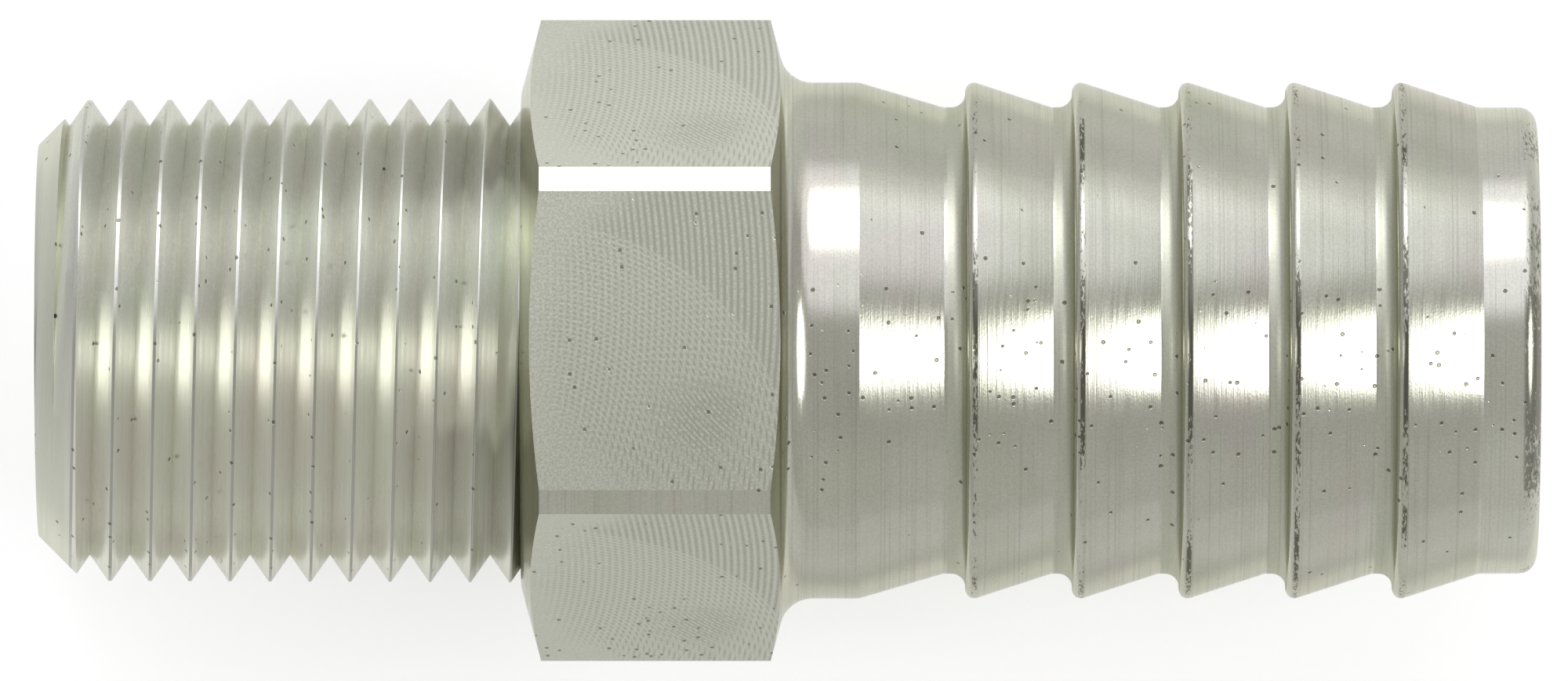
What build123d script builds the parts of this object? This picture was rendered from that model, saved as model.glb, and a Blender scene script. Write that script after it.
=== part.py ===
import os
from math import cos, radians, sin, tan

from build123d import *

# Hose barb tail: one turned piece, in millimetres.
# The axis is X. The origin is on the axis, at the hexagon's face on the thread side.
# The threaded end runs to -X and the barbed spigot to +X.
# The hexagon has a flat above and a flat below, at +Z and -Z.

# Bore
bore_diameter = 11.0
bore_edge_bevel = 0.3

# Threaded end, turned to the crests' diameter for a thread of 19 turns to the inch
thread_length = 16.12  # free end to the hexagon
thread_diameter = 16.1  # over the crests
thread_lead_diameter = 13.1  # face of the free end, inside its 45 degree lead

# Hexagon
hex_across_flats = 19.0
hex_corner_diameter = 21.43  # the corners are turned down to this size
hex_corner_length = 7.67  # along the corners, between the two end bevels
hex_bevel_angle = 15  # of both end bevels, from the square plane
hex_face_diameter = 16.54  # flat ring inside the bevel on the thread side

# Collar
collar_diameter = 17.25
collar_end = 11.27  # hexagon's thread-side face to the collar's far edge
collar_fillet = 1.1  # where the collar runs out into the hexagon

# Barbs
barb_count = 5
barb_pitch = 3.567
barb_edge_diameter = 17.46  # over the barbs, where wall and taper would meet
barb_depth = 0.935  # from that diameter in to the groove
barb_taper_angle = 18
barb_edge_bevel = 0.4  # taken off the sharp edge, along the wall and along the taper
barb_groove_bevel = 0.35  # in the corner at the foot of the wall
first_taper_angle = 16.4  # collar down to the first groove
first_barb_wall = 14.83  # hexagon's thread-side face to the first barb's steep wall

# Tip
tip_length = 1.92  # plain cylinder, last taper to the end face
tip_bevel = 0.42


def slope(angle):
    return tan(radians(angle))


bore_radius = bore_diameter / 2
thread_radius = thread_diameter / 2
thread_lead_radius = thread_lead_diameter / 2
hex_corner_radius = hex_corner_diameter / 2
hex_face_radius = hex_face_diameter / 2
collar_radius = collar_diameter / 2
barb_root_radius = barb_edge_diameter / 2 - barb_depth

# Places along the axis
free_end = -thread_length
lead_end = free_end + thread_radius - thread_lead_radius
hex_near_edge = (hex_corner_radius - hex_face_radius) * slope(hex_bevel_angle)
hex_far_edge = hex_near_edge + hex_corner_length
collar_start = hex_far_edge + (hex_corner_radius - collar_radius) * slope(hex_bevel_angle)
first_taper_end = collar_end + (collar_radius - barb_root_radius) / slope(first_taper_angle)
barb_taper_length = barb_depth / slope(barb_taper_angle)
barb_walls = [first_barb_wall + number * barb_pitch for number in range(barb_count)]
tip_end = barb_walls[-1] + barb_taper_length + tip_length
overall_length = tip_end - free_end

# One barb, from the foot of its wall: out, over its edge and down the taper
barb_outline = (
    (-barb_groove_bevel, 0),
    (0, barb_groove_bevel),
    (0, barb_depth - barb_edge_bevel),
    (
        barb_edge_bevel * cos(radians(barb_taper_angle)),
        barb_depth - barb_edge_bevel * sin(radians(barb_taper_angle)),
    ),
    (barb_taper_length, 0),
)


with BuildPart() as hose_barb_tail:
    # Half section of all that is turned, solid to the axis
    with BuildSketch():
        with BuildLine():
            Polyline(
                (free_end, 0),
                (free_end, thread_lead_radius),
                (lead_end, thread_radius),
                (0, thread_radius),
                (0, hex_face_radius),
                (hex_near_edge, hex_corner_radius),
                (hex_far_edge, hex_corner_radius),
            )
            FilletPolyline(
                (hex_far_edge, hex_corner_radius),
                (collar_start, collar_radius),
                (collar_end, collar_radius),
                radius=collar_fillet,
            )
            Line((collar_end, collar_radius), (first_taper_end, barb_root_radius))
            Polyline(
                (first_taper_end, barb_root_radius),
                (tip_end - tip_bevel, barb_root_radius),
                (tip_end, barb_root_radius - tip_bevel),
                (tip_end, 0),
                (free_end, 0),
            )
        make_face()
        with Locations(*[(wall, barb_root_radius) for wall in barb_walls]):
            Polygon(*barb_outline, align=None)
    revolve(axis=Axis.X)

    # Hexagon's six flats: they stand clear of all that is turned on either side
    with BuildSketch(Plane.YZ.offset(free_end)):
        RegularPolygon(radius=hex_across_flats / 2, side_count=6, major_radius=False)
    extrude(amount=overall_length, mode=Mode.INTERSECT)

    # Bore, right through
    with BuildSketch(Plane.YZ.offset(free_end)):
        Circle(bore_radius)
    extrude(amount=overall_length, mode=Mode.SUBTRACT)
    bore_mouths = edges(Select.LAST).filter_by(GeomType.CIRCLE)
    chamfer(bore_mouths, bore_edge_bevel)

hose_barb_tail.part.label = "hose_barb_tail"

os.makedirs("parts", exist_ok=True)
export_step(hose_barb_tail.part, "parts/hose_barb_tail.step")
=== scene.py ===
from math import cos, pi, radians, sin, sqrt, tan

import bmesh
import bpy
from mathutils import Matrix, Vector


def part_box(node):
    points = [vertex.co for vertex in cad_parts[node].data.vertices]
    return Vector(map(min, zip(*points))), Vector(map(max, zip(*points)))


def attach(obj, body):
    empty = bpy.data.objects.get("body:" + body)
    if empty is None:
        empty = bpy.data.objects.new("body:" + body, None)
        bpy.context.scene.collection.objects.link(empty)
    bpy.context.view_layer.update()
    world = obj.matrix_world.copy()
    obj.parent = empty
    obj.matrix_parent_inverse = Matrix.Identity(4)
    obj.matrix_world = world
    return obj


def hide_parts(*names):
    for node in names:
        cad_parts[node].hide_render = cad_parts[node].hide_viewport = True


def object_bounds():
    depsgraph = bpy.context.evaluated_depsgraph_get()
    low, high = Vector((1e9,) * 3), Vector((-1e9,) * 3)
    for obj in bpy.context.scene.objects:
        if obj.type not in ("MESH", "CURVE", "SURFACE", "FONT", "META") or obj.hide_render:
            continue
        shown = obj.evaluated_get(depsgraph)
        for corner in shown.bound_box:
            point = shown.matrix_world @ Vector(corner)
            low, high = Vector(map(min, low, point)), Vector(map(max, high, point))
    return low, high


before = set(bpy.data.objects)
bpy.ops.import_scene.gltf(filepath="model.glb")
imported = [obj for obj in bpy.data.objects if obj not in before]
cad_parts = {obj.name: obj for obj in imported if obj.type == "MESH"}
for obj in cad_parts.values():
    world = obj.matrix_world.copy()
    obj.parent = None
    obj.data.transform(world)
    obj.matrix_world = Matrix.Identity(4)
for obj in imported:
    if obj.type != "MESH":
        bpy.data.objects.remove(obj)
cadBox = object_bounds()
low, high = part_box("hose_barb_tail")
mm = 0.001
print("frame loaded, box", [round((b - a) / mm, 2) for a, b in zip(low, high)], "mm")

# The shape is made in mm. The axis is X: thread towards -X, barbs towards +X, hexagon flats up and down.

hoseTail = {
    "threadEnd": low[0] / mm,  # free end of the thread
    "tipEnd": high[0] / mm,  # free end of the barbs
    "steps": 256,  # facets round the axis
    "sharpAngle": 14,  # degrees between faces, from which an edge stays sharp
    "merging": 1e-4,  # corners this near each other are one
    "cutting": 1e-5,  # corners this near a cut lie on it
    "finishes": ["turnedSteel", "milledSteel", "threadSteel", "drilledSteel"],
}

thread = {
    "pitch": 1.337,
    "halfAngle": 35,  # of the V, from the square plane
    "rootRadius": 7.166,
    "crestRadiusAtEnd": 8.03,
    "crestRadiusAtHex": 8.085,
    "leadRadius": 6.55,  # 45 degree lead, at the free end
    "crestAtSide": -7.74,  # one crest's place along X, on the +Y side
    "flankCuts": 2,
    "seam": 2e-3,  # how far apart the rolled sheet's two edges may be
}

hexagon = {
    "flats": 6,
    "firstFlat": 30,  # degrees from +Y
    "flatHeight": high[2] / mm,
    "cornerRadius": high[1] / mm,
    "faceRadius": 8.27,
    "bevelAngle": 15,
    "cornerLength": 7.67,
    "manyCorners": 30,  # only the flats have faces with more corners
    "mapUnit": 10,  # mm to one unit of their UV map
}

collar = {
    "radius": 8.625,
    "end": 11.27,
    "taper": 16.4,  # down to the first groove
    "fillet": 1.1,
    "filletSteps": 14,
}

barbs = {
    "count": 5,
    "pitch": 3.567,
    "firstWall": 14.83,
    "edgeRadius": 8.73,  # where wall and taper would meet
    "rootRadius": 7.795,
    "taper": 18,
    "edgeRound": 0.288,
    "edgeSteps": 9,
    "grooveRound": 0.472,
    "grooveSteps": 8,
    "tipRound": 0.58,
    "tipSteps": 8,
}

bore = {"radius": 5.5, "bevel": 0.3}


def arcPoints(centre, radius, start, end, steps):
    # Points of an arc in the half section, angles in degrees from +X
    angles = [radians(start + (end - start) * i / steps) for i in range(steps + 1)]
    return [(centre[0] + radius * cos(a), centre[1] + radius * sin(a)) for a in angles]


def hexagonSection():
    bevel = radians(hexagon["bevelAngle"])
    corner = hexagon["cornerRadius"]
    nearEdge = (corner - hexagon["faceRadius"]) * tan(bevel)
    farEdge = nearEdge + hexagon["cornerLength"]
    meeting = farEdge + (corner - collar["radius"]) * tan(bevel)
    turn = pi / 2 - bevel
    centre = (meeting + collar["fillet"] * tan(turn / 2), collar["radius"] + collar["fillet"])
    points = [(0, hexagon["faceRadius"]), (nearEdge, corner), (farEdge, corner)]
    points += arcPoints(centre, collar["fillet"], 180 + hexagon["bevelAngle"], 270,
                        collar["filletSteps"])
    return points


def barbSection():
    slope = tan(radians(barbs["taper"]))
    root, edge, groove = barbs["rootRadius"], barbs["edgeRound"], barbs["grooveRound"]
    taperLength = (barbs["edgeRadius"] - root) / slope
    edgeCentre = barbs["edgeRadius"] - edge * slope - edge / cos(radians(barbs["taper"]))
    points = []
    for number in range(barbs["count"]):
        wall = barbs["firstWall"] + number * barbs["pitch"]
        points += arcPoints((wall - groove, root + groove), groove, 270, 360, barbs["grooveSteps"])
        points += arcPoints((wall + edge, edgeCentre), edge, 180, 90 - barbs["taper"],
                            barbs["edgeSteps"])
        points += [(wall + taperLength, root)]
    return points


def tailSection():
    # From the hexagon's thread-side face over the outside, and back through the bore
    tip, end, start = barbs["tipRound"], hoseTail["tipEnd"], hoseTail["threadEnd"]
    taperLength = (collar["radius"] - barbs["rootRadius"]) / tan(radians(collar["taper"]))
    points = hexagonSection()
    points += [(collar["end"], collar["radius"])]
    points += [(collar["end"] + taperLength, barbs["rootRadius"])]
    points += barbSection()
    points += arcPoints((end - tip, barbs["rootRadius"] - tip), tip, 90, 0, barbs["tipSteps"])
    points += [(end, bore["radius"] + bore["bevel"]), (end - bore["bevel"], bore["radius"])]
    points += [(start + bore["bevel"], bore["radius"]), (start, bore["radius"] + bore["bevel"])]
    return points


def allOf(bm):
    return bm.verts[:] + bm.edges[:] + bm.faces[:]


def addTurnedBody(bm):
    verts = [bm.verts.new((x, r, 0)) for x, r in tailSection()]
    edges = [bm.edges.new(pair) for pair in zip(verts, verts[1:])]
    bmesh.ops.spin(bm, geom=verts + edges, cent=(0, 0, 0), axis=(1, 0, 0), angle=2 * pi,
                   steps=hoseTail["steps"], use_merge=True)
    bmesh.ops.remove_doubles(bm, verts=bm.verts[:], dist=hoseTail["merging"])


def cutHexagon(bm):
    # The plane cuts leave the flats, and turned land between them
    for number in range(hexagon["flats"]):
        angle = radians(hexagon["firstFlat"] + 360 / hexagon["flats"] * number)
        outwards = Vector((0, cos(angle), sin(angle)))
        cut = bmesh.ops.bisect_plane(
            bm, geom=allOf(bm), dist=hoseTail["cutting"],
            plane_co=outwards * hexagon["flatHeight"], plane_no=outwards, clear_outer=True)
        edges = [e for e in cut["geom_cut"] if isinstance(e, bmesh.types.BMEdge)]
        bmesh.ops.contextual_create(bm, geom=edges)


def addRidges(bm):
    # A flat sheet of V ridges: X along the axis, Y the angle round it, Z the radius.
    # It slides one pitch towards -X in a turn.
    pitch, root, start = thread["pitch"], thread["rootRadius"], hoseTail["threadEnd"]
    rise = pitch / 2 / tan(radians(thread["halfAngle"]))
    firstCrest = thread["crestAtSide"] - pitch * int((thread["crestAtSide"] - start) / pitch + 1)
    ridges = int((2 * pitch - firstCrest) / pitch) + 1
    shares = [i / thread["flankCuts"] for i in range(1, thread["flankCuts"] + 1)]
    section = [(firstCrest - pitch / 2, root)]
    for number in range(ridges):
        crest = firstCrest + number * pitch
        section += [(crest - pitch / 2 * (1 - share), root + rise * share) for share in shares]
        section += [(crest + pitch / 2 * share, root + rise * (1 - share)) for share in shares]
    verts = [bm.verts.new((x, 0, r)) for x, r in section]
    edges = [bm.edges.new(pair) for pair in zip(verts, verts[1:])]
    steps = hoseTail["steps"]
    bmesh.ops.spin(bm, geom=verts + edges, cent=(0, 0, 0), axis=(1, 0, 0), angle=0,
                   dvec=(-pitch / steps, 2 * pi / steps, 0), steps=steps)


def addThread(bm):
    # The sheet is cut off at the lead and the crests and at both ends, and rolls up
    addRidges(bm)
    start = hoseTail["threadEnd"]
    crestSlope = (thread["crestRadiusAtHex"] - thread["crestRadiusAtEnd"]) / -start
    lead = (Vector((start, 0, thread["leadRadius"])), 1)
    crests = (Vector((start, 0, thread["crestRadiusAtEnd"])), crestSlope)
    for point, slope in (lead, crests):
        bmesh.ops.bisect_plane(bm, geom=allOf(bm), dist=hoseTail["cutting"],
                               plane_co=point, plane_no=(-slope, 0, 1))
        for v in bm.verts:
            v.co.z = min(v.co.z, point.z + (v.co.x - point.x) * slope)
    for end, outwards in ((start, -1), (0, 1)):
        bmesh.ops.bisect_plane(bm, geom=allOf(bm), dist=hoseTail["cutting"],
                               plane_co=(end, 0, 0), plane_no=(outwards, 0, 0), clear_outer=True)
    for v in bm.verts:
        v.co = (v.co.x, v.co.z * cos(v.co.y), v.co.z * sin(v.co.y))
    bmesh.ops.remove_doubles(bm, verts=bm.verts[:], dist=thread["seam"])
    bmesh.ops.dissolve_degenerate(bm, edges=bm.edges[:], dist=hoseTail["merging"])


def closeRing(bm, place):
    # Square face between the thread's edge and the turned body's
    edges = [e for e in bm.edges if e.is_boundary
             and all(abs(v.co.x - place) < thread["seam"] / 2 for v in e.verts)]
    bmesh.ops.triangle_fill(bm, edges=edges, use_beauty=True, use_dissolve=False)


def finishFaces(bm):
    # Which finish each face takes, and where a point lies on its flat
    uv = bm.loops.layers.uv.new("flats")
    finishes = hoseTail["finishes"]
    unit = hexagon["mapUnit"]
    for face in bm.faces:
        face.smooth = True
        middle = face.calc_center_median()
        radius = sqrt(middle.y ** 2 + middle.z ** 2)
        if radius < bore["radius"] + bore["bevel"]:
            face.material_index = finishes.index("drilledSteel")
        elif middle.x < 0:
            face.material_index = finishes.index("threadSteel")
        elif len(face.verts) > hexagon["manyCorners"]:
            face.material_index = finishes.index("milledSteel")
            across = Vector((0, -face.normal.z, face.normal.y))
            for loop in face.loops:
                loop[uv].uv = (loop.vert.co.x / unit, -loop.vert.co.dot(across) / unit)


def makeHoseTail():
    threadMesh = bmesh.new()
    addThread(threadMesh)
    rolled = bpy.data.meshes.new("rolledThread")
    threadMesh.to_mesh(rolled)
    threadMesh.free()

    bm = bmesh.new()
    addTurnedBody(bm)
    cutHexagon(bm)
    bm.from_mesh(rolled)
    bpy.data.meshes.remove(rolled)
    closeRing(bm, hoseTail["threadEnd"])
    closeRing(bm, 0)
    bmesh.ops.recalc_face_normals(bm, faces=bm.faces[:])
    print("open edges", sum(not e.is_manifold for e in bm.edges), "faces", len(bm.faces),
          "volume", round(bm.calc_volume(), 1), "mm3")
    finishFaces(bm)
    for edge in bm.edges:
        edge.smooth = edge.calc_face_angle(0) < radians(hoseTail["sharpAngle"])
    bmesh.ops.scale(bm, vec=(mm, mm, mm), verts=bm.verts[:])
    mesh = bpy.data.meshes.new("hoseTail")
    bm.to_mesh(mesh)
    bm.free()
    piece = bpy.data.objects.new("hoseTail", mesh)
    bpy.context.collection.objects.link(piece)
    return piece


tail = makeHoseTail()
print("hose tail modelled")

# The finishes: every pattern is laid out in mm, on the piece's own coordinates.
# A grain is a noise's scale, detail, roughness and distortion.
# A fade is where it starts and ends, and its values before and after, where not 0 and 1.

steel = {
    "light": (0.715, 0.718, 0.605),
    "warm": (0.72, 0.69, 0.60),
    "green": (0.65, 0.67, 0.535),
    "stainAndShade": (0.16, 0.155, 0.115),  # in pits and on worn edges, and the dark of painted shade
    "tintStretch": (0.35, 0.16, 0.16),
    "tintGrain": (1, 3),
    "greenFade": (0.35, 0.5, 0.7, 0),
    "warmFade": (0.5, 0.68, 0, 0.9),
}

turning = {
    "linesPerMm": 11.0,
    "lineLength": 0.045,  # how soon a line changes along its way round
    "lineGrain": (1, 3, 0.65),
    "lineDepth": 3.6e-6,
    "lineTone": (0.3, 0.5, 0.18, 0),
    "chatterGrain": (13.0, 1),
    "chatterDepth": 1.2e-6,
    "chatterTone": (0.3, 0.7, 0.12, 0),
    "paleTipAndPaintedReflection": (0.98, 0.985, 0.87),  # on the tip, and as a painted reflection on the hexagon's bevel beside the thread, towards +Y
    "bevelEnd": (0.64, 0.66, 1, 0),
    "bevelSide": (-2, 2),
    "tipStart": (31.8, 31.9, 0, 0.3),
    "edgeTint": (0.68, 0.68, 0.63),  # what it mirrors at a slant is this much darker
    "lineRough": (0.3, 0.7, 0.22, 0.13),
    "grooveRough": 0.40,
    "grooveGreen": 0.6,
}

# Stains, pits and painted shade of the barbs: the edge stains are wear laid in a band that paints a dark
# reflection, thinning away from the middle. Along a barb, places count from the foot of its wall.
wearAndPaintedShade = {
    "grooveStart": -0.75,
    "groove": [(-0.72, -0.6), (0, 0.03, 1, 0)],
    "edge": [(0.16, 0.22), (0.32, 0.40, 1, 0)],
    "lastBarb": (31.8, 31.81, 1, 0),
    "onset": 0.01,
    "tipEdge": (33.25, 33.4, 0, 0.7),
    "tipRadius": (7.15, 7.35),
    "middle": -1.2,  # how far out to +Y there is most of it; the painted shade thins away from there
    "speckleStretch": (14, 4, 4),
    "speckleGrain": (1, 3, 0.7),
    "regionStretch": (0.3, 0.35, 0.35),
    "regionGrain": (1, 2),
    "regionShare": 0.9,
    "nearMiddle": (1.5, 5.0, 0.06, -0.12),
    "amount": (0.87, 0.95, 0, 0.95),
    "pitsUp": (5.5, 6.5),
    "pitsAlong": (8.6, 8.9),
    "pitsAcross": (2.0, 4.4, 1, 0),
}

pits = {
    "perMm": 2.4,
    "size": 0.175,
    "rim": (0.7, 1.1),  # of that size, where a pit ends softly
    "share": 0.07,  # of the places where one could be
    "shareOnFlats": 0.46,
    "shareOnTop": 0.55,  # of the barbs
    "depth": 2.0e-5,
    "tone": {"turned": 0.85, "milled": 0.7, "threaded": 0.8},
}


def newSteel(name):
    material = bpy.data.materials.new(name)
    material.use_nodes = True
    tree = material.node_tree
    shader = tree.nodes["Principled BSDF"]
    shader.inputs["Metallic"].default_value = 1
    tail.data.materials.append(material)
    return tree, shader


def plug(tree, socket, value):
    if isinstance(value, bpy.types.NodeSocket):
        tree.links.new(value, socket)
    elif isinstance(value, tuple) and len(value) == 3 and socket.type == "RGBA":
        socket.default_value = (*value, 1)
    else:
        socket.default_value = value


def calculate(tree, operation, *values):
    node = tree.nodes.new("ShaderNodeMath")
    node.operation = operation
    for socket, value in zip(node.inputs, values):
        plug(tree, socket, value)
    return node.outputs[0]


def multiply(tree, product, *factors):
    for factor in factors:
        product = calculate(tree, "MULTIPLY", product, factor)
    return product


def opposite(tree, share):
    return calculate(tree, "SUBTRACT", 1, share)


def awayFrom(tree, value, middle):
    return calculate(tree, "ABSOLUTE", calculate(tree, "SUBTRACT", value, middle))


def stretch(tree, vector, scale):
    node = tree.nodes.new("ShaderNodeMapping")
    plug(tree, node.inputs["Vector"], vector)
    node.inputs["Scale"].default_value = scale
    return node.outputs[0]


def placeInMm(tree):
    place = tree.nodes.new("ShaderNodeTexCoord")
    return stretch(tree, place.outputs["Object"], (1 / mm, 1 / mm, 1 / mm))


def split(tree, vector):
    node = tree.nodes.new("ShaderNodeSeparateXYZ")
    plug(tree, node.inputs[0], vector)
    return node.outputs[:3]


def join(tree, x, y, z):
    node = tree.nodes.new("ShaderNodeCombineXYZ")
    for socket, value in zip(node.inputs, (x, y, z)):
        plug(tree, socket, value)
    return node.outputs[0]


def noise(tree, vector, scale, detail, roughness=0.5, distortion=0.0):
    node = tree.nodes.new("ShaderNodeTexNoise")
    plug(tree, node.inputs["Vector"], vector)
    node.inputs["Scale"].default_value = scale
    node.inputs["Detail"].default_value = detail
    node.inputs["Roughness"].default_value = roughness
    node.inputs["Distortion"].default_value = distortion
    return node.outputs["Fac"]


def fade(tree, value, start, end, before=0.0, after=1.0):
    node = tree.nodes.new("ShaderNodeMapRange")
    node.interpolation_type = "SMOOTHSTEP"
    plug(tree, node.inputs["Value"], value)
    sockets = ("From Min", "From Max", "To Min", "To Max")
    for name, number in zip(sockets, (start, end, before, after)):
        plug(tree, node.inputs[name], number)
    return node.outputs["Result"]


def between(tree, value, fades):
    return multiply(tree, *(fade(tree, value, *numbers) for numbers in fades))


def blend(tree, factor, first, second, kind="MIX"):
    node = tree.nodes.new("ShaderNodeMix")
    node.data_type = "RGBA"
    node.blend_type = kind
    plug(tree, node.inputs["Factor"], factor)
    colours = [socket for socket in node.inputs if socket.type == "RGBA"]
    plug(tree, colours[0], first)
    plug(tree, colours[1], second)
    return next(socket for socket in node.outputs if socket.type == "RGBA")


def stainAndShade(tree, colour, *shares):
    # Each share in turn darkens the colour, for stains and for painted shade
    for share in shares:
        colour = blend(tree, share, colour, steel["stainAndShade"])
    return colour


def raiseSurface(tree, shader, heights):
    normal = None
    for height, depth in heights:
        node = tree.nodes.new("ShaderNodeBump")
        plug(tree, node.inputs["Height"], height)
        node.inputs["Distance"].default_value = depth
        if normal:
            plug(tree, node.inputs["Normal"], normal)
        normal = node.outputs["Normal"]
    plug(tree, shader.inputs["Normal"], normal)


def pitMask(tree, place, share):
    # 1 in the middle of scattered small pits, with a soft edge
    node = tree.nodes.new("ShaderNodeTexVoronoi")
    plug(tree, node.inputs["Vector"], place)
    node.inputs["Scale"].default_value = pits["perMm"]
    chosen = calculate(tree, "LESS_THAN", split(tree, node.outputs["Color"])[0], share)
    start, end = (pits["size"] * part for part in pits["rim"])
    return multiply(tree, fade(tree, node.outputs["Distance"], start, end, 1, 0), chosen)


def steelTint(tree, place):
    broad = noise(tree, stretch(tree, place, steel["tintStretch"]), *steel["tintGrain"])
    tinted = blend(tree, fade(tree, broad, *steel["greenFade"]), steel["light"], steel["green"])
    return blend(tree, fade(tree, broad, *steel["warmFade"]), tinted, steel["warm"])


def turningLines(tree, along, across, place, length):
    # Fine noise drawn out round the axis; across is how many lines one step of along crosses
    y, z = split(tree, place)[1:]
    lined = join(tree, multiply(tree, along, across), multiply(tree, y, length),
                 multiply(tree, z, length))
    return noise(tree, lined, *turning["lineGrain"])


def placeOnBarb(tree, x):
    # How far past the foot of a barb's wall, and 1 where there are barbs at all
    before = wearAndPaintedShade["grooveStart"]
    start = barbs["firstWall"] + before
    turns = calculate(tree, "DIVIDE", calculate(tree, "SUBTRACT", x, start), barbs["pitch"])
    turn = calculate(tree, "FRACT", turns)
    past = calculate(tree, "MULTIPLY_ADD", turn, barbs["pitch"], before)
    return past, between(tree, x, [(start, start + wearAndPaintedShade["onset"]), wearAndPaintedShade["lastBarb"]])


def makeTurnedSteel():
    tree, shader = newSteel("turnedSteel")
    shader.inputs["Specular Tint"].default_value = (*turning["edgeTint"], 1)
    place = placeInMm(tree)
    x, y, z = split(tree, place)
    lines = turningLines(tree, x, turning["linesPerMm"], place, turning["lineLength"])
    chatter = noise(tree, place, *turning["chatterGrain"])
    away = awayFrom(tree, y, wearAndPaintedShade["middle"])
    onTop = multiply(tree, fade(tree, z, *wearAndPaintedShade["pitsUp"]), fade(tree, x, *wearAndPaintedShade["pitsAlong"]),
                     fade(tree, away, *wearAndPaintedShade["pitsAcross"]))
    pitted = pitMask(tree, place, fade(tree, onTop, 0, 1, pits["share"], pits["shareOnTop"]))

    past, onBarbs = placeOnBarb(tree, x)
    # Wear and painted shade: speckled stains in a band where a dark reflection is painted on each barb
    # edge
    edge = multiply(tree, between(tree, past, wearAndPaintedShade["edge"]), onBarbs)
    groove = multiply(tree, between(tree, past, wearAndPaintedShade["groove"]), onBarbs)
    radius = calculate(tree, "SQRT", calculate(tree, "ADD", multiply(tree, y, y), multiply(tree, z, z)))
    tipEdge = multiply(tree, fade(tree, x, *wearAndPaintedShade["tipEdge"]), fade(tree, radius, *wearAndPaintedShade["tipRadius"]))
    wornAndPaintedShade = calculate(tree, "MAXIMUM", edge, tipEdge)
    speckle = noise(tree, stretch(tree, place, wearAndPaintedShade["speckleStretch"]), *wearAndPaintedShade["speckleGrain"])
    region = noise(tree, stretch(tree, place, wearAndPaintedShade["regionStretch"]), *wearAndPaintedShade["regionGrain"])
    speckled = calculate(tree, "MULTIPLY_ADD", region, wearAndPaintedShade["regionShare"], speckle)
    # Fewer stains away from the middle, where the painted dark reflection fades
    speckled = calculate(tree, "ADD", speckled, fade(tree, away, *wearAndPaintedShade["nearMiddle"]))
    stainedAndShaded = multiply(tree, wornAndPaintedShade, fade(tree, speckled, *wearAndPaintedShade["amount"]))

    # Painted reflection: the hexagon's bevel beside the thread is lighter towards +Y; the tip is paler
    # in its own tone
    bevelReflection = multiply(tree, fade(tree, x, *turning["bevelEnd"]), fade(tree, y, *turning["bevelSide"]))
    paleTipAndBevelReflection = calculate(tree, "MAXIMUM", bevelReflection, fade(tree, x, *turning["tipStart"]))
    colour = blend(tree, paleTipAndBevelReflection, steelTint(tree, place), turning["paleTipAndPaintedReflection"])
    colour = blend(tree, multiply(tree, groove, turning["grooveGreen"]), colour, steel["green"])
    colour = stainAndShade(tree, colour, fade(tree, lines, *turning["lineTone"]),
                   fade(tree, chatter, *turning["chatterTone"]), stainedAndShaded,
                   multiply(tree, pitted, pits["tone"]["turned"]))
    plug(tree, shader.inputs["Base Color"], colour)
    rough = calculate(tree, "MAXIMUM", fade(tree, lines, *turning["lineRough"]),
                      multiply(tree, groove, turning["grooveRough"]))
    plug(tree, shader.inputs["Roughness"], rough)
    raiseSurface(tree, shader, [(lines, turning["lineDepth"]), (chatter, turning["chatterDepth"]),
                                (opposite(tree, pitted), pits["depth"])])


milling = {
    # Rings of the cutter, mm apart round a centre. They are seen round a middle as far
    # as the reach, and in full up to a share of it.
    "lines": {"centre": (-18.0, 1.5), "apart": 0.225, "middle": (6.5, 0.0), "reach": 6.6, "full": 0.7},
    "rings": {"centre": (0.7, -4.4), "apart": 0.168, "middle": (0.7, -4.4), "reach": 8.4, "full": 0.97},
    "strokes": {"centre": (12.0, 3.0), "apart": 0.15, "middle": (5.9, -2.6), "reach": 2.4, "full": 0.2},
    "uneven": (0.5, 2),  # grain of where they end
    "tone": 0.42,
    "depth": 1.2e-6,
    "chatterGrain": (12, 2),
    "chatterTone": (0.3, 0.7, 0.1, 0),
    "broken": (0.3, 0.6, 0.5, 1),  # the marks, by the chatter
    "sparkles": [  # painted glints: bright stipple round a middle
        {"middle": (1.8, 2.2), "reach": 2.6},
        {"middle": (5.6, -2.7), "reach": 2.0},
    ],
    "sparkleOut": (0.3, 1.1, 0.4, 0),
    "sparkleDots": (0.55, 0.68),
    "roughness": (0.3, 0.7, 0.24, 0.34),
    # Painted light: the flats are lighter towards +Y and darker away from it
    "paintedShadedTone": (0.77, 0.785, 0.66),
    "paintedLitTone": (0.925, 0.94, 0.80),
    # The colour of the painted glints
    "shine": (0.95, 0.955, 0.85),
    "paintedLightAt": 4.5,  # how far out to +Y the painted light is brightest
    "paintedLightFade": (0, 10.5),
    "pitGrain": (0.22, 1),  # of where the pits lie
    "pitFade": (0.42, 0.6, 0.08, pits["shareOnFlats"]),
}


def distanceOnFlat(tree, onFlat, point):
    node = tree.nodes.new("ShaderNodeVectorMath")
    node.operation = "DISTANCE"
    plug(tree, node.inputs[0], onFlat)
    node.inputs[1].default_value = (*point, 0)
    return node.outputs["Value"]


def shareOfReach(tree, onFlat, patch):
    return calculate(tree, "DIVIDE", distanceOnFlat(tree, onFlat, patch["middle"]), patch["reach"])


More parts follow.
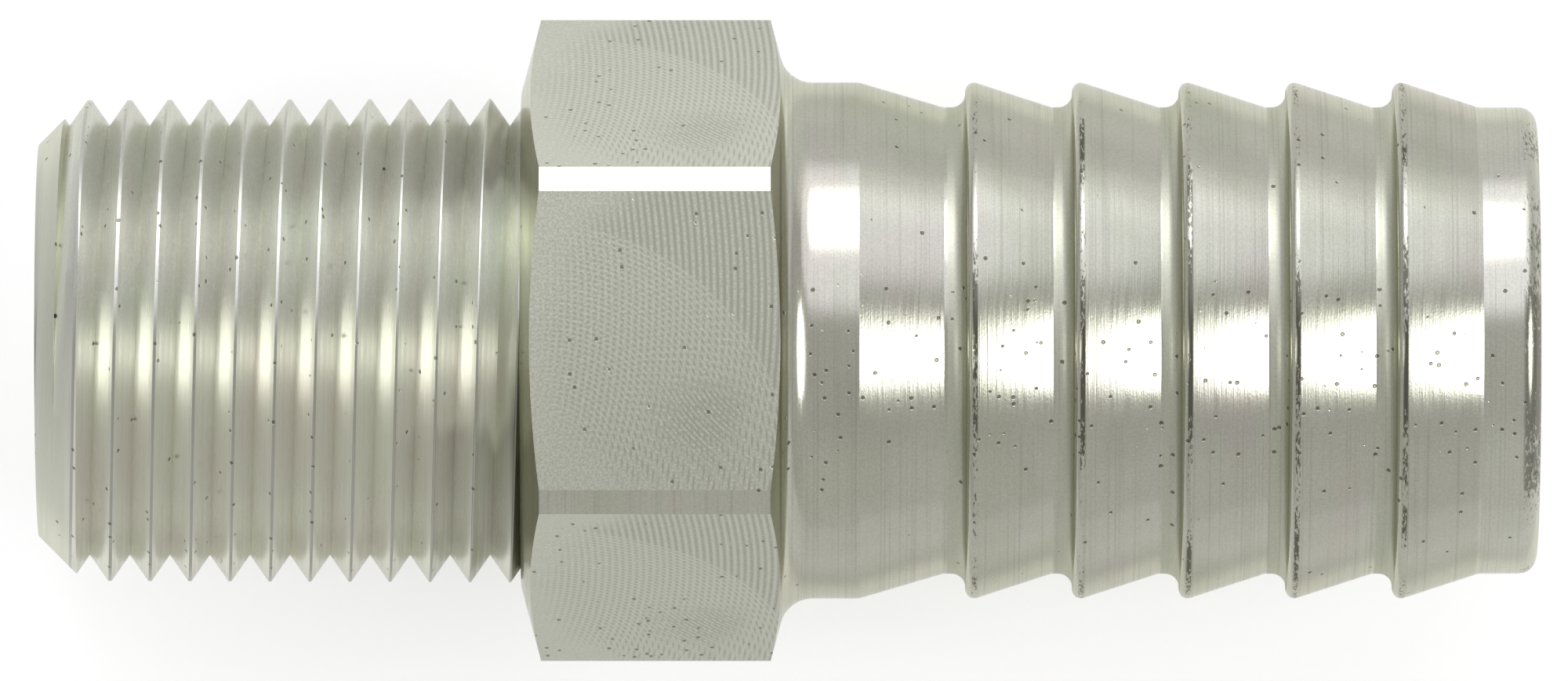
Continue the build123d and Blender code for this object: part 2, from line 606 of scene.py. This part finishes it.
def cutterMarks(tree, onFlat, cutter, uneven):
    # 1 along its rings and 0 between them, and how far they are seen at all
    turn = multiply(tree, distanceOnFlat(tree, onFlat, cutter["centre"]), 2 * pi / cutter["apart"])
    wave = calculate(tree, "MULTIPLY_ADD", calculate(tree, "SINE", turn), 0.5, 0.5)
    away = calculate(tree, "MULTIPLY_ADD", calculate(tree, "SUBTRACT", uneven, 0.5),
                     1 - cutter["full"], shareOfReach(tree, onFlat, cutter))
    return wave, fade(tree, away, cutter["full"], 1.0, 1, 0)


def makeMilledSteel():
    tree, shader = newSteel("milledSteel")
    place = placeInMm(tree)
    flat = tree.nodes.new("ShaderNodeUVMap")
    flat.uv_map = "flats"
    onFlat = stretch(tree, flat.outputs[0], (hexagon["mapUnit"], hexagon["mapUnit"], 1))
    chatter = noise(tree, place, *milling["chatterGrain"])
    uneven = noise(tree, onFlat, *milling["uneven"])
    pitted = pitMask(tree, place, fade(tree, noise(tree, place, *milling["pitGrain"]),
                                       *milling["pitFade"]))
    lines, inLines = cutterMarks(tree, onFlat, milling["lines"], uneven)
    rings, inRings = cutterMarks(tree, onFlat, milling["rings"], uneven)
    strokes, inStrokes = cutterMarks(tree, onFlat, milling["strokes"], uneven)
    # The rings break the lines up into dots
    dots = multiply(tree, inRings, opposite(tree, rings))
    marks = multiply(tree, lines, opposite(tree, dots), inLines)
    marks = calculate(tree, "MAXIMUM", marks, multiply(tree, strokes, inStrokes))
    marks = multiply(tree, marks, fade(tree, chatter, *milling["broken"]))
    # Painted glints on the flats
    shining = 0.0
    for sparkle in milling["sparkles"]:
        strength = fade(tree, shareOfReach(tree, onFlat, sparkle), *milling["sparkleOut"])
        shining = calculate(tree, "MAXIMUM", shining, strength)
    shining = multiply(tree, shining, fade(tree, chatter, *milling["sparkleDots"]))
    # Painted light: lighter towards +Y, darker away from it
    away = awayFrom(tree, split(tree, place)[1], milling["paintedLightAt"])
    colour = blend(tree, fade(tree, away, *milling["paintedLightFade"]), milling["paintedLitTone"], milling["paintedShadedTone"])
    colour = stainAndShade(tree, colour, multiply(tree, marks, milling["tone"]),
                   fade(tree, chatter, *milling["chatterTone"]))
    colour = blend(tree, shining, colour, milling["shine"])
    colour = stainAndShade(tree, colour, multiply(tree, pitted, pits["tone"]["milled"]))
    plug(tree, shader.inputs["Base Color"], colour)
    plug(tree, shader.inputs["Roughness"], fade(tree, chatter, *milling["roughness"]))
    raiseSurface(tree, shader, [(marks, -milling["depth"]), (chatter, turning["chatterDepth"]),
                                (opposite(tree, pitted), pits["depth"])])


# Across a ridge, places run from 0 at a root over 0.5 at the crest to 1 at the next root.
threading = {
    # Painted light: the thread is lighter towards -Y and darker away from it
    "paintedLitTone": (0.93, 0.94, 0.84),
    "paintedShadedTone": (0.76, 0.78, 0.69),
    "paintedLightAt": -3.6,  # how far out to +Y the painted light is brightest
    "paintedLightFade": (2.2, 5.6),
    "broadStretch": (0.8, 0.18, 0.18),
    "broadGrain": (1, 2),
    "pink": (0.985, 0.96, 0.975),  # laid over both, in broad patches
    "pinkFade": (0.4, 0.6),
    "farFlankShade": (0.945, 0.945, 0.945),  # painted shade, laid over the flanks that face the hexagon
    "farFlankFade": (0.49, 0.51),
    "edgeTint": (0.78, 0.78, 0.74),
    "swirl": (0.90, 0.90, 0.84),
    "swirlGrain": (6, 2, 0.6, 2.5),
    "swirlFade": (0.5, 0.62, 0, 0.4),
    "swirlSide": (-1.0, 1.5),
    "linesAcross": 13.0,
    "lineLength": 0.12,
    "lineDepth": 1.8e-6,
    "lineTone": (0.3, 0.5, 0.08, 0),
    "roughness": (0.3, 0.7, 0.36, 0.25),
    "pitsFromRoot": (0.3, 0.44, pits["share"], pits["shareOnTop"]),
    "crestFade": (0.455, 0.47),
    "crestShade": (-0.5, 2.0, 0.45, 0),  # painted shade on the crests, darker towards -Y
    "crown": -4.0e-5,  # the flanks shade as if rounded towards the crests
    "crownEnd": 0.46,
    "crownPower": 3,
    "lead": (0.77, 0.785, 0.665),
    "leadFade": (0.8, 1.2, 1, 0),  # in from the free end
    # The last flanks mirror the hexagon, out towards the sides
    "shadedAlong": (-5.5, -0.8),
    "shadedFlank": (0.51, 0.56),
    "shadedMiddle": 0.9,
    "shadedUneven": 4.0,
    "shadedOut": (5.7, 6.5, 0, 0.40),
    # Painted shade in the gap beside the hexagon, darker towards -Y
    "gapAlong": (-0.42, -0.16),
    "gapSide": (-3.0, 1.5, 0.62, 0.05),
}


def placeOnRidge(tree, x, y, z):
    turn = calculate(tree, "DIVIDE", calculate(tree, "ARCTAN2", z, y), 2 * pi)
    along = calculate(tree, "SUBTRACT", x, thread["crestAtSide"])
    along = calculate(tree, "DIVIDE", along, thread["pitch"])
    return calculate(tree, "FRACT", calculate(tree, "ADD", calculate(tree, "ADD", along, turn), 0.5))


def makeThreadSteel():
    tree, shader = newSteel("threadSteel")
    shader.inputs["Specular Tint"].default_value = (*threading["edgeTint"], 1)
    place = placeInMm(tree)
    x, y, z = split(tree, place)
    ridge = placeOnRidge(tree, x, y, z)
    fromRoot = calculate(tree, "PINGPONG", ridge, 0.5)
    lines = turningLines(tree, ridge, threading["linesAcross"], place, threading["lineLength"])
    chatter = noise(tree, place, *turning["chatterGrain"])
    broad = noise(tree, stretch(tree, place, threading["broadStretch"]), *threading["broadGrain"])
    pitted = pitMask(tree, place, fade(tree, fromRoot, *threading["pitsFromRoot"]))
    # Painted shade: the crest lands are darker towards -Y
    wornAndPaintedShade = multiply(tree, fade(tree, fromRoot, *threading["crestFade"]),
                    fade(tree, y, *threading["crestShade"]))
    flank = calculate(tree, "MINIMUM", fromRoot, threading["crownEnd"])
    crown = calculate(tree, "POWER", multiply(tree, flank, 2), threading["crownPower"])

    # Painted light: lighter towards -Y, darker away from it
    away = awayFrom(tree, y, threading["paintedLightAt"])
    colour = blend(tree, fade(tree, away, *threading["paintedLightFade"]),
                   threading["paintedLitTone"], threading["paintedShadedTone"])
    colour = blend(tree, fade(tree, broad, *threading["pinkFade"]),
                   colour, threading["pink"], "MULTIPLY")
    # Painted shade on the flanks that face the hexagon
    colour = blend(tree, fade(tree, ridge, *threading["farFlankFade"]),
                   colour, threading["farFlankShade"], "MULTIPLY")
    colour = stainAndShade(tree, colour, fade(tree, lines, *threading["lineTone"]))
    swirls = fade(tree, noise(tree, place, *threading["swirlGrain"]), *threading["swirlFade"])
    swirled = multiply(tree, swirls, fade(tree, y, *threading["swirlSide"]))
    colour = blend(tree, swirled, colour, threading["swirl"])
    fromEnd = calculate(tree, "SUBTRACT", x, hoseTail["threadEnd"])
    colour = blend(tree, fade(tree, fromEnd, *threading["leadFade"]), colour, threading["lead"])

    out = calculate(tree, "MULTIPLY_ADD", broad, threading["shadedUneven"],
                    awayFrom(tree, y, threading["shadedMiddle"]))
    shaded = multiply(tree, fade(tree, x, *threading["shadedAlong"]),
                      fade(tree, ridge, *threading["shadedFlank"]),
                      fade(tree, out, *threading["shadedOut"]))
    # Painted shade in the gap beside the hexagon
    gapShade = multiply(tree, fade(tree, y, *threading["gapSide"]), fade(tree, x, *threading["gapAlong"]))
    colour = stainAndShade(tree, colour, wornAndPaintedShade, shaded, gapShade, multiply(tree, pitted, pits["tone"]["threaded"]))
    plug(tree, shader.inputs["Base Color"], colour)
    plug(tree, shader.inputs["Roughness"], fade(tree, lines, *threading["roughness"]))
    raiseSurface(tree, shader, [(crown, threading["crown"]), (lines, threading["lineDepth"]),
                                (chatter, turning["chatterDepth"]),
                                (opposite(tree, pitted), pits["depth"])])


drilling = {"lineTone": (0.3, 0.6, 0.35, 0), "roughness": 0.32}


def makeDrilledSteel():
    tree, shader = newSteel("drilledSteel")
    place = placeInMm(tree)
    lines = turningLines(tree, split(tree, place)[0], turning["linesPerMm"], place,
                         turning["lineLength"])
    colour = stainAndShade(tree, steel["green"], fade(tree, lines, *drilling["lineTone"]))
    plug(tree, shader.inputs["Base Color"], colour)
    shader.inputs["Roughness"].default_value = drilling["roughness"]
    raiseSurface(tree, shader, [(lines, turning["lineDepth"])])


# In the order of hoseTail's finishes
makeTurnedSteel()
makeMilledSteel()
makeThreadSteel()
makeDrilledSteel()
print("finishes made")

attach(tail, "root")
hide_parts("hose_barb_tail")

camera = {
    "lens": 650,  # mm: nearly no perspective
    "sensor": 36,
    "frameWidth": 0.0524,  # what the frame takes in across, at the axis
    "centre": (0.008769, 0.0, 0.0),
    "clip": (0.1, 10),  # nearest and farthest it sees, in its distance to the piece
}

studio = {
    "worldColour": (0.435, 0.435, 0.435),
    "floorColour": (0.69, 0.69, 0.69),
    "floorRoughness": 0.9,
    "floorSize": 4.0,
    "floorGap": 0.00002,  # below the piece
    "poolSize": (0.0298, 0.0124),  # half size of the paler floor round the piece
    "poolPower": 4,  # how square its corners are
    # The glow there, and how many times that size it fades to nothing at
    "pools": [{"glow": 0.42, "end": 1.7}, {"glow": 0.12, "end": 5.0}],
}

# Softboxes a metre away: towards where, width and height in metres, radiance
softboxes = {
    "hoseEndLamp": {"direction": (0.695, -0.08, 0.719), "size": (0.66, 0.42), "radiance": 2.7},
    "sideLamp": {"direction": (0.0, 0.832, 0.555), "size": (0.60, 0.52), "radiance": 1.6},
    "threadEndLamp": {"direction": (-0.5, -0.06, 0.864), "size": (0.20, 0.50), "radiance": 2.0},
}

# Soft light in the air: towards where, from and to which angle off it, what it adds
glows = [
    {"direction": (0.0, 0.76, 0.65), "angles": (42, 30), "colour": (0.56, 0.56, 0.64)},
    {"direction": (0.695, -0.085, 0.719), "angles": (17.5, 12.5), "colour": (0.8, 0.8, 0.8)},
    {"direction": (0.45, 0.89, 0.03), "angles": (28, 5), "colour": (0.31, 0.31, 0.32)},
    {"direction": (0.1, -0.97, 0.2), "angles": (45, 8), "colour": (0.08, 0.08, 0.08)},
]


def poolGlow(tree):
    # The glow of the floor, on a rectangle with well rounded corners and out from it
    x, y = split(tree, tree.nodes.new("ShaderNodeTexCoord").outputs["Object"])[:2]
    power = studio["poolPower"]
    wide, deep = studio["poolSize"]
    parts = []
    for far, size in ((awayFrom(tree, x, camera["centre"][0]), wide), (awayFrom(tree, y, 0), deep)):
        parts += [calculate(tree, "POWER", calculate(tree, "DIVIDE", far, size), power)]
    out = calculate(tree, "POWER", calculate(tree, "ADD", *parts), 1 / power)
    near, wider = (fade(tree, out, 1, pool["end"], pool["glow"], 0) for pool in studio["pools"])
    return calculate(tree, "ADD", near, wider)


def addFloor():
    bm = bmesh.new()
    bmesh.ops.create_grid(bm, x_segments=1, y_segments=1, size=studio["floorSize"] / 2)
    bmesh.ops.translate(bm, vec=(0, 0, cadBox[0][2] - studio["floorGap"]), verts=bm.verts[:])
    mesh = bpy.data.meshes.new("floor")
    bm.to_mesh(mesh)
    bm.free()
    floor = bpy.data.objects.new("floor", mesh)
    bpy.context.collection.objects.link(floor)
    material = bpy.data.materials.new("floorPaper")
    material.use_nodes = True
    tree = material.node_tree
    shader = tree.nodes["Principled BSDF"]
    shader.inputs["Base Color"].default_value = (*studio["floorColour"], 1)
    shader.inputs["Roughness"].default_value = studio["floorRoughness"]
    path = tree.nodes.new("ShaderNodeLightPath").outputs
    seen = calculate(tree, "MAXIMUM", path["Is Camera Ray"], path["Is Glossy Ray"])
    seen = calculate(tree, "MAXIMUM", seen, path["Is Transmission Ray"])
    shader.inputs["Emission Color"].default_value = (1, 1, 1, 1)
    plug(tree, shader.inputs["Emission Strength"], multiply(tree, seen, poolGlow(tree)))
    mesh.materials.append(material)


def addSoftbox(name, lamp):
    data = bpy.data.lights.new(name, "AREA")
    data.shape = "ELLIPSE"
    data.size, data.size_y = lamp["size"]
    area = pi / 4 * data.size * data.size_y
    data.energy = lamp["radiance"] * pi * area
    box = bpy.data.objects.new(name, data)
    away = Vector(lamp["direction"]).normalized()
    box.matrix_world = Matrix.Translation(away) @ away.to_track_quat("Z", "Y").to_matrix().to_4x4()
    bpy.context.collection.objects.link(box)


def addWorld():
    world = bpy.data.worlds.new("studio")
    world.use_nodes = True
    tree = world.node_tree
    towards = tree.nodes.new("ShaderNodeTexCoord").outputs["Generated"]
    colour = studio["worldColour"]
    for glow in glows:
        node = tree.nodes.new("ShaderNodeVectorMath")
        node.operation = "DOT_PRODUCT"
        plug(tree, node.inputs[0], towards)
        node.inputs[1].default_value = Vector(glow["direction"]).normalized()
        outer, inner = (cos(radians(angle)) for angle in glow["angles"])
        share = fade(tree, node.outputs["Value"], outer, inner)
        colour = blend(tree, share, colour, glow["colour"], "ADD")
    plug(tree, tree.nodes["Background"].inputs["Color"], colour)
    bpy.context.scene.world = world


def addCamera():
    data = bpy.data.cameras.new("camera")
    data.lens = camera["lens"]
    data.sensor_width = camera["sensor"]
    distance = camera["lens"] / camera["sensor"] * camera["frameWidth"]
    data.clip_start, data.clip_end = (distance * part for part in camera["clip"])
    eye = bpy.data.objects.new("camera", data)
    eye.location = Vector(camera["centre"]) + Vector((0, 0, distance))
    bpy.context.collection.objects.link(eye)
    bpy.context.scene.camera = eye


addFloor()
for name, lamp in softboxes.items():
    addSoftbox(name, lamp)
addWorld()
addCamera()
bpy.context.scene.view_settings.view_transform = "Standard"
print("studio ready")
